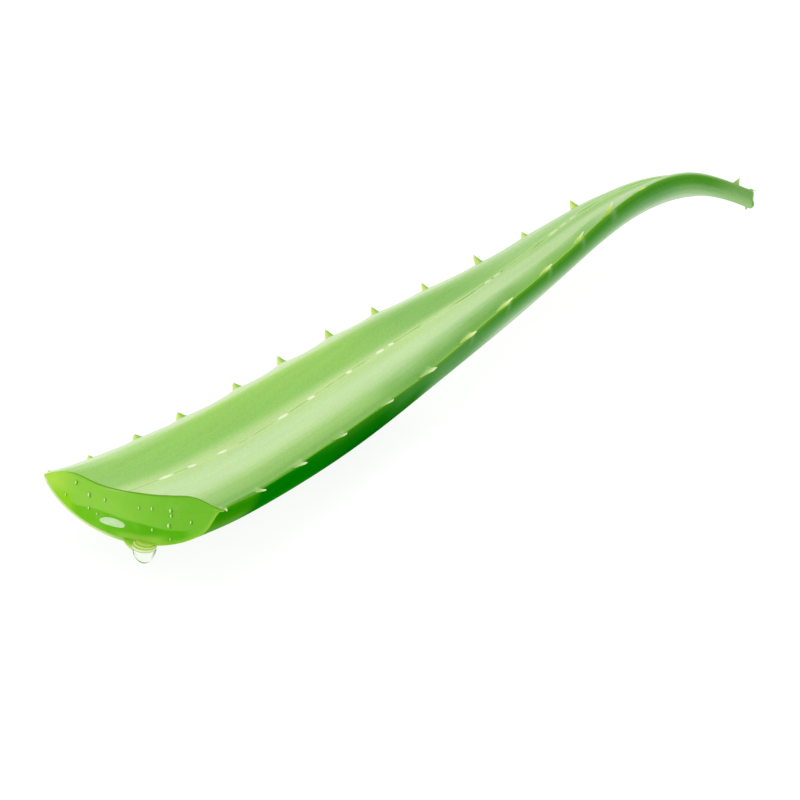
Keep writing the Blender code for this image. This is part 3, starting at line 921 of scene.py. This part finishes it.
# %% Midline, flecks, and beside the teeth a painted highlight, painted shade and the lime edge
off_mid = maths("ABSOLUTE", attribute("from_mid_mm"))
fine, cloud = grain(SKIN_GRAIN_SCALE, SKIN_CLOUD_SCALE)
line_mask = step(off_mid, 0.5, 0.12)
line_weight = times(line_mask, step(cloud, 0.38, 0.62, 0.12, 1.0),
                    step(along, 0.35, 0.5, 0.50, 0.90))
fleck_wide_mm = step(along, 0.40, 0.60, 0.66, 0.46)
fleck_edge = maths("SUBTRACT", attribute("fleck"), maths("DIVIDE", off_mid, fleck_wide_mm))
fleck_weight = times(step(fleck_edge, -0.05, 0.3), step(along, 0.4, 0.75, 0.92, 0.45))
lime_colour = mix(step(along, 0.32, 0.46), (140, 188, 56), (172, 214, 56))
colour = painted(
    colour,
    (step(off_mid, 1.1, 0.5, 0.0, 0.35), (212, 234, 166)),
    (line_weight, (128, 184, 66)),
    (fleck_weight, (240, 249, 214)),
    # a painted highlight beside each near tooth
    (times(attribute("tooth_highlight"), 0.38), (216, 236, 180)),
    # painted shade in the dip behind the near teeth
    (times(attribute("dip_shade"), 0.4), (122, 180, 76)),
    (attribute("lime"), lime_colour))

# %% Streaks, grain, gloss and relief of the upper side
SKIN_RELIEF, SKIN_RELIEF_M = 0.25, 0.0002
streaks = along_streaks(along, near)
skin_height = maths("ADD", fine, maths("ADD", times(line_mask, -1.2), streaks))
feed(shader, {
    "Base Color": weathered(colour, streaks, fine, 0.035, 0.05),
    "Roughness": step(cloud, 0.3, 0.7, 0.38, 0.5),
    "Specular IOR Level": 0.07, "Specular Tint": (0.7, 1.0, 0.4, 1.0),
    "Normal": relief(skin_height, SKIN_RELIEF, SKIN_RELIEF_M)})
print(skin.name, "is built of", len(tree.nodes), "nodes")

# %% Skin of the flanks and the underside, with painted shade near the cut and a painted sheen towards the tip
FLANK_REACH_MM = 16.0
# the deepest greens near the cut are painted shade, and the paler lower flank towards the tip is a painted
# sheen
FLANK_SHADE_AND_SHEEN_BANDS = (
    ((0, 0), (
        (0, 92, 166, 30), (0.5, 60, 147, 6), (1.1, 46, 142, 2), (2.4, 38, 136, 2), (4, 45, 138, 1),
        (5.5, 54, 141, 5), (6.5, 66, 148, 16), (8.2, 82, 152, 42), (16, 108, 164, 80))),
    ((0.075, 0.115), (
        (0, 24, 131, 1), (0.6, 6, 123, 2), (1.6, 1, 116, 0), (7, 1, 116, 1), (9.5, 12, 121, 4),
        (16, 70, 140, 30))),
    ((0.17, 0.27), (
        (0, 58, 138, 12), (0.6, 49, 130, 17), (1.6, 36, 122, 14), (3, 17, 111, 3),
        (5, 6, 106, 2), (9, 1, 98, 0), (16, 20, 108, 8))),
    ((0.30, 0.355), (
        (0, 86, 150, 50), (0.6, 74, 142, 46), (1.6, 63, 135, 47), (3, 59, 132, 46), (4, 50, 126, 40),
        (5, 43, 120, 32), (7, 30, 116, 18), (9.5, 20, 108, 8), (16, 60, 130, 40))),
    ((0.365, 0.43), (
        (0, 108, 166, 66), (0.5, 94, 153, 61), (1.2, 83, 146, 62), (2, 84, 146, 66),
        (3.5, 90, 149, 76), (6, 95, 153, 84), (8, 108, 162, 98), (16, 150, 190, 142))),
    ((0.46, 0.58), (
        (0, 104, 172, 50), (0.6, 84, 154, 38), (1.6, 70, 140, 37), (3, 80, 146, 58), (4, 96, 157, 80),
        (5, 112, 167, 98), (7, 144, 184, 132), (9, 182, 209, 170), (16, 186, 211, 172))),
    ((0.85, 0.93), (
        (0, 180, 211, 162), (0.25, 140, 185, 110), (0.6, 92, 156, 58), (1.2, 74, 148, 34),
        (2.6, 82, 149, 48), (4.6, 122, 174, 100), (7, 158, 197, 138), (9, 186, 212, 170),
        (16, 186, 212, 170))),
    ((0.94, 0.985), (
        (0, 150, 190, 116), (0.4, 122, 170, 88), (1.2, 116, 167, 84), (2.2, 120, 172, 93),
        (3, 128, 178, 103), (4, 140, 185, 111), (5.5, 150, 191, 121), (7.5, 158, 198, 134),
        (16, 190, 214, 172))),
)
flank, tree, shader = new_material("leaf_flank")
along, down, far = (attribute(name) for name in ("along", "down_mm", "far_mm"))
lime_colour = mix(step(along, 0.32, 0.46), (110, 172, 36), (160, 208, 56))
colour = painted(
    banded(down, FLANK_REACH_MM, along, FLANK_SHADE_AND_SHEEN_BANDS),
    (step(far, 3.2, 0.2, 0.0, 0.85), (84, 154, 44)),
    (times(attribute("streak"), 0.2), (196, 220, 186)),
    (attribute("lime"), lime_colour))
fine, cloud = grain(SKIN_GRAIN_SCALE, SKIN_CLOUD_SCALE)
streaks = along_streaks(along, down)
feed(shader, {
    "Base Color": weathered(colour, streaks, fine, 0.045, 0.045),
    "Roughness": step(cloud, 0.3, 0.7, 0.36, 0.5), "Specular IOR Level": 0.0,
    "Normal": relief(maths("ADD", fine, streaks), SKIN_RELIEF, SKIN_RELIEF_M)})

# %% [markdown]
# ### The cut face
#
# Cut across, the rind is a thin olive line above and a paler, softer edge below. Inside it the
# jelly is clear. Its colour holds a painted yellow-green glow at the thin corner and over the drop,
# and a painted reflection that lightens its upper band, so it deepens towards the lower lip; its
# wet surface also mirrors the light.

# %% The jelly: a painted reflection makes the upper band lighter than the deeper lower one
GEL_IOR = 1.36
# the painted reflection lightens the face above this line
REFLECTION_EDGE = (  # across the face from 0 far to 1 near, and how far down the two bands meet
    (0.12, 0.36), (0.17, 0.44), (0.31, 0.465), (0.38, 0.50), (0.46, 0.55), (0.62, 0.57), (0.70, 0.58),
    (0.78, 0.55), (0.84, 0.50),
)
flesh, tree, shader = new_material("wet_flesh")
face_down, face_x, edge = (attribute(name) for name in ("face_down", "face_x", "edge_mm"))
_, cloud = grain(900.0, 160.0)
reflection_edge = add_node("ShaderNodeFloatCurve", {"Value": maths("MULTIPLY_ADD", face_x, 0.5, 0.5)})
curve = reflection_edge.mapping.curves[0]
for at, level in REFLECTION_EDGE:
    curve.points.new(at, level)
curve.points[0].location, curve.points[-1].location = (0.0, 0.25), (1.0, 0.42)
reflection_edge.mapping.update()
wavering_down = maths("ADD", face_down, maths("MULTIPLY_ADD", cloud, 0.10, -0.05))
under_reflection = maths("SUBTRACT", wavering_down, reflection_edge.outputs["Value"])
# the upper band's colour holds a painted reflection; the lower band is the jelly's own deeper green
upper_flesh_and_reflection = mix(step(face_x, -0.5, 0.7), (146, 212, 70), (116, 194, 48))
lower_flesh = mix(step(face_x, -0.6, 0.3), (110, 198, 0), (86, 182, 0))
below_reflection = times(step(under_reflection, -0.012, 0.025), step(face_x, 0.70, 0.55),
                step(face_x, -0.79, -0.71))
colour = painted(
    upper_flesh_and_reflection,
    (below_reflection, lower_flesh),
    # a painted yellow-green glow at the thin far corner
    (times(step(face_x, -0.62, -0.74), step(face_down, 0.12, 0.3)), (142, 216, 8)),
    (times(step(face_x, -0.55, -0.95), step(face_down, 0.4, 0.05)), (184, 230, 76)),
    (step(cloud, 0.5, 0.75, 0.0, 0.22), (160, 218, 90)))

# %% The rind round it, and how wet it is
is_top = step(face_down, 0.06, 0.02)
not_top = maths("SUBTRACT", 1.0, is_top, clamp=True)
left_part = step(face_x, 0.1, -0.4)
over_drop = times(step(face_x, -0.28, 0.0), step(face_x, 0.46, 0.2))
# a painted glow on the lip over the drop
painted_lip_glow = times(step(edge, 3.6, 1.4), step(face_down, 0.5, 0.7), over_drop)
rim_colour = mix(left_part, (150, 205, 50), (222, 241, 172))
rim_weight = times(step(edge, 1.1, 0.35), not_top, step(left_part, 0.0, 1.0, 0.45, 0.95))
top_left = times(step(face_x, -0.6, -0.8), 0.85)
top_line = times(step(edge, 0.55, 0.22), maths("SUBTRACT", is_top, top_left, clamp=True))
colour = painted(
    colour,
    (times(step(edge, 1.5, 0.5), not_top, 0.5), (140, 208, 60)),
    (times(painted_lip_glow, 0.75), (172, 220, 76)),
    (rim_weight, rim_colour),
    (times(top_line, 0.95), (104, 158, 18)))
feed(shader, {
    "Base Color": colour, "Roughness": 0.04, "IOR": GEL_IOR, "Specular Tint": (0.6, 1.0, 0.1, 1.0),
    "Subsurface Weight": 0.2, "Subsurface Radius": (0.5, 1.0, 0.15), "Subsurface Scale": 0.002,
    "Normal": relief(cloud, 0.15, 0.0004)})
print(flesh.name, "is built of", len(tree.nodes), "nodes")

# %% Put the three finishes on their faces
for finish in (skin, flank, flesh):
    leaf.data.materials.append(finish)
counts = np.bincount([polygon.material_index for polygon in leaf.data.polygons])
print("faces of upper side, flank and cut:", counts.tolist())

# %% [markdown]
# ### Teeth and clear gel
#
# A tooth fades from skin green at its root through yellow-green to a pale horny point, and its
# sides carry painted light and shade. The gel of the drop is as clear as water, so it is a glass,
# with painted shade in dark green on its right rim and a painted yellow-green glow on its left.
# Its refraction is set under water's, which keeps so small a drop as light as a real one looks.
# The folds, the beads and the lens under the painted reflection are thin gel over green, so they
# are wet and not glass; on them the pale and dark parts are painted highlights and painted shade.

# %% Teeth
TIP_HORN = ((0, 128, 176, 92), (0.4, 152, 194, 110), (1, 226, 236, 176))
FAR_HORN = ((0, 178, 216, 130), (0.2, 156, 212, 80), (0.6, 150, 208, 58), (1, 232, 244, 180))
NEAR_SHADED_FACE = ((0, 120, 180, 50), (0.3, 170, 212, 62), (0.7, 206, 232, 112), (1, 250, 248, 226))
BASE_LIT_FACE = ((0, 150, 198, 100), (0.35, 176, 212, 130), (0.7, 232, 240, 200), (1, 254, 250, 238))
HIGH_LIT_FACE = ((0, 168, 210, 92), (0.35, 198, 228, 98), (0.7, 230, 243, 154), (1, 254, 253, 232))
horn, tree, shader = new_material("tooth_horn")
rise, front, along = (attribute(name) for name in ("rise", "front", "along"))
_, cloud = grain(1500.0, 300.0)
tip_horn, far_horn, near_shaded_face, base_lit_face, high_lit_face = (
    ramp(rise, stops) for stops in (TIP_HORN, FAR_HORN, NEAR_SHADED_FACE, BASE_LIT_FACE, HIGH_LIT_FACE))
# a near tooth's upper face is painted as lit and its outer face as shaded
near_lit_face = mix(step(along, 0.35, 0.5), base_lit_face, high_lit_face)
rooted = times(step(front, -0.2, -0.95), step(rise, 0.8, 0.2), 0.6)
near_horn = painted(
    near_shaded_face,
    (step(attribute("upper_face"), -0.1, 0.25), near_lit_face),
    (rooted, (158, 204, 100)),
    (step(along, 0.9, 0.95), tip_horn))
colour = painted(
    far_horn,
    # a painted highlight on the back edge of each far tooth, and painted shade on its front
    (times(step(front, 0.6, -0.3), 0.9), (226, 242, 136)),
    (times(step(front, 0.3, 0.9), 0.35), (126, 190, 54)),
    (attribute("near_side"), near_horn),
    (step(cloud, 0.35, 0.7, 0.0, 0.15), (130, 192, 60)))
feed(shader, {"Base Color": colour, "Roughness": 0.36, "Specular IOR Level": 0.3})

# %% Clear drop
gel, tree, shader = new_material("clear_gel")
_, cloud = grain(500.0, 400.0)
rim_side = attribute("rim_side")
colour = painted(
    mix(cloud, (255, 255, 252), (250, 254, 240)),
    # painted shade in dark green on the right rim, and below it a painted yellow-green glow on the left rim
    (step(rim_side, 0.56, 0.88), (64, 126, 48)),
    (step(rim_side, -0.70, -0.94), (150, 192, 66)))
feed(shader, {"Base Color": colour, "Roughness": 0.0, "IOR": 1.22, "Transmission Weight": 1.0})

# %% Folds and web, beads, and the painted reflection
FOLDS_FROM_MM, FOLDS_REACH_MM = 4.0, 2.0
# the gel's green, with painted highlights on the folds and painted shade between them
FOLD_HIGHLIGHTS_AND_SHADE = (
    (0.3, 150, 196, 60), (0.6, 156, 200, 64), (0.83, 236, 247, 186), (1.02, 238, 248, 192),
    (1.18, 158, 200, 54), (1.30, 234, 246, 166), (1.45, 154, 203, 48), (1.56, 208, 236, 118),
    (1.66, 172, 220, 78), (1.76, 136, 208, 36),
)
BEAD_HIGHLIGHT_SCALE = 0.6
BEAD_HIGHLIGHT_TO_SHADE = ((0, 246, 254, 232), (0.24, 222, 245, 180), (0.46, 150, 212, 76), (0.75, 112, 190, 36),
        (1, 84, 164, 16))
folds, tree, shader = new_material("gel_skirt")
_, cloud = grain(900.0, 300.0)
up_the_folds = maths("SUBTRACT", attribute("up_mm"), FOLDS_FROM_MM)
colour = mix(step(cloud, 0.4, 0.7, 0.0, 0.2),
             ramp(up_the_folds, FOLD_HIGHLIGHTS_AND_SHADE, FOLDS_REACH_MM), (220, 240, 150))
feed(shader, {"Base Color": colour, "Roughness": 0.05, "IOR": GEL_IOR})

bead_gel, tree, shader = new_material("gel_bead")
_, cloud = grain(900.0, 600.0)
# each bead is painted with a highlight on its front that fades to painted shade at its rim
colour = mix(step(cloud, 0.4, 0.7, 0.0, 0.2),
             ramp(times(attribute("from_bead_highlight"), BEAD_HIGHLIGHT_SCALE), BEAD_HIGHLIGHT_TO_SHADE), (160, 218, 90))
feed(shader, {"Base Color": colour, "Roughness": 0.05, "IOR": GEL_IOR,
                    "Specular Tint": (0.8, 1.0, 0.5, 1.0)})

reflection_finish, tree, shader = new_material("painted_reflection")
_, cloud = grain(900.0, 500.0)
# its pale colour is a painted reflection
colour = mix(step(cloud, 0.3, 0.7), (188, 230, 156), (206, 239, 180))
feed(shader, {"Base Color": colour, "Roughness": 0.06, "IOR": GEL_IOR})

# %% Put each finish on its piece
for piece, finish in ((teeth, horn), (drop, gel), (skirt, folds), (web, folds), (beads, bead_gel),
                      (reflection_lens, reflection_finish)):
    piece.data.materials.clear()
    piece.data.materials.append(finish)
    print(piece.name, "is finished in", finish.name)

# %% [markdown]
# ## Tie the pieces to the imported model
#
# Every piece rides on the model's one body. The skin and the teeth stand for the solid leaf, and
# the clear drop stands for the solid drop.

# %% Ride and replace
for piece in (leaf, teeth, drop, skirt, web, beads, reflection_lens):
    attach(piece, "root")
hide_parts("leaf")
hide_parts("gel_drop")

# %% [markdown]
# ## Floor, light and camera
#
# A plain pale floor and broad soft light from all round, as in a product photograph on white.
# The camera stands far off with a long lens, as the photograph's perspective shows.

# %% Floor
floor = start_from(bpy.ops.mesh.primitive_plane_add, "floor", size=8.0, location=(0, 0, 0))
paper, tree, shader = new_material("white_paper")
feed(shader, {
    "Base Color": (0.16, 0.16, 0.16, 1.0), "Roughness": 0.9, "Specular IOR Level": 0.0,
    "Emission Color": (1.0, 1.0, 1.0, 1.0), "Emission Strength": 0.90})
floor.data.materials.append(paper)

# %% Light
SOFTBOX_AT, SOFTBOX_SIZE, SOFTBOX_WATTS = (0.1, 0.35, 1.2), (1.4, 1.0), 4.0
world = bpy.context.scene.world or bpy.data.worlds.new("studio")
bpy.context.scene.world = world
world.use_nodes = True
feed(world.node_tree.nodes["Background"], {"Color": (1.0, 1.0, 1.0, 1.0), "Strength": 0.82})
bpy.ops.object.light_add(type="AREA", location=SOFTBOX_AT)
softbox = bpy.context.object
softbox.name = "overhead_softbox"
softbox.data.shape = "RECTANGLE"
softbox.data.size, softbox.data.size_y = SOFTBOX_SIZE
softbox.data.energy = SOFTBOX_WATTS
softbox.rotation_euler = (-Vector(SOFTBOX_AT)).to_track_quat("-Z", "Y").to_euler()
print("lamp:", softbox.name)

# %% Camera
CAMERA_AZIMUTH_DEG, CAMERA_ELEVATION_DEG, CAMERA_AWAY_M = 54.0, 29.0, 0.9694
AIM_AT, AIM_DOWN_M, AIM_LEFT_M = Vector((-0.0055, 0.0065, 0.0)), 0.0033, 0.0001
turn, tilt = math.radians(CAMERA_AZIMUTH_DEG), math.radians(CAMERA_ELEVATION_DEG)
level, upright = Vector((math.sin(turn), math.cos(turn), 0.0)), Vector((0, 0, 1))
looking = level * math.cos(tilt) - upright * math.sin(tilt)
up = level * math.sin(tilt) + upright * math.cos(tilt)
camera_at = AIM_AT - looking * CAMERA_AWAY_M - up * AIM_DOWN_M - looking.cross(up) * AIM_LEFT_M
bpy.ops.object.camera_add(location=camera_at)
camera = bpy.context.object
camera.rotation_euler = looking.to_track_quat("-Z", "Y").to_euler()
camera.data.lens, camera.data.sensor_width = 150.0, 36.0
camera.data.clip_end = 20.0
bpy.context.scene.camera = camera
bpy.context.scene.view_settings.view_transform = "Standard"
print("camera at", [round(v, 4) for v in camera_at])

# %% Update the view layer
bpy.context.view_layer.update()
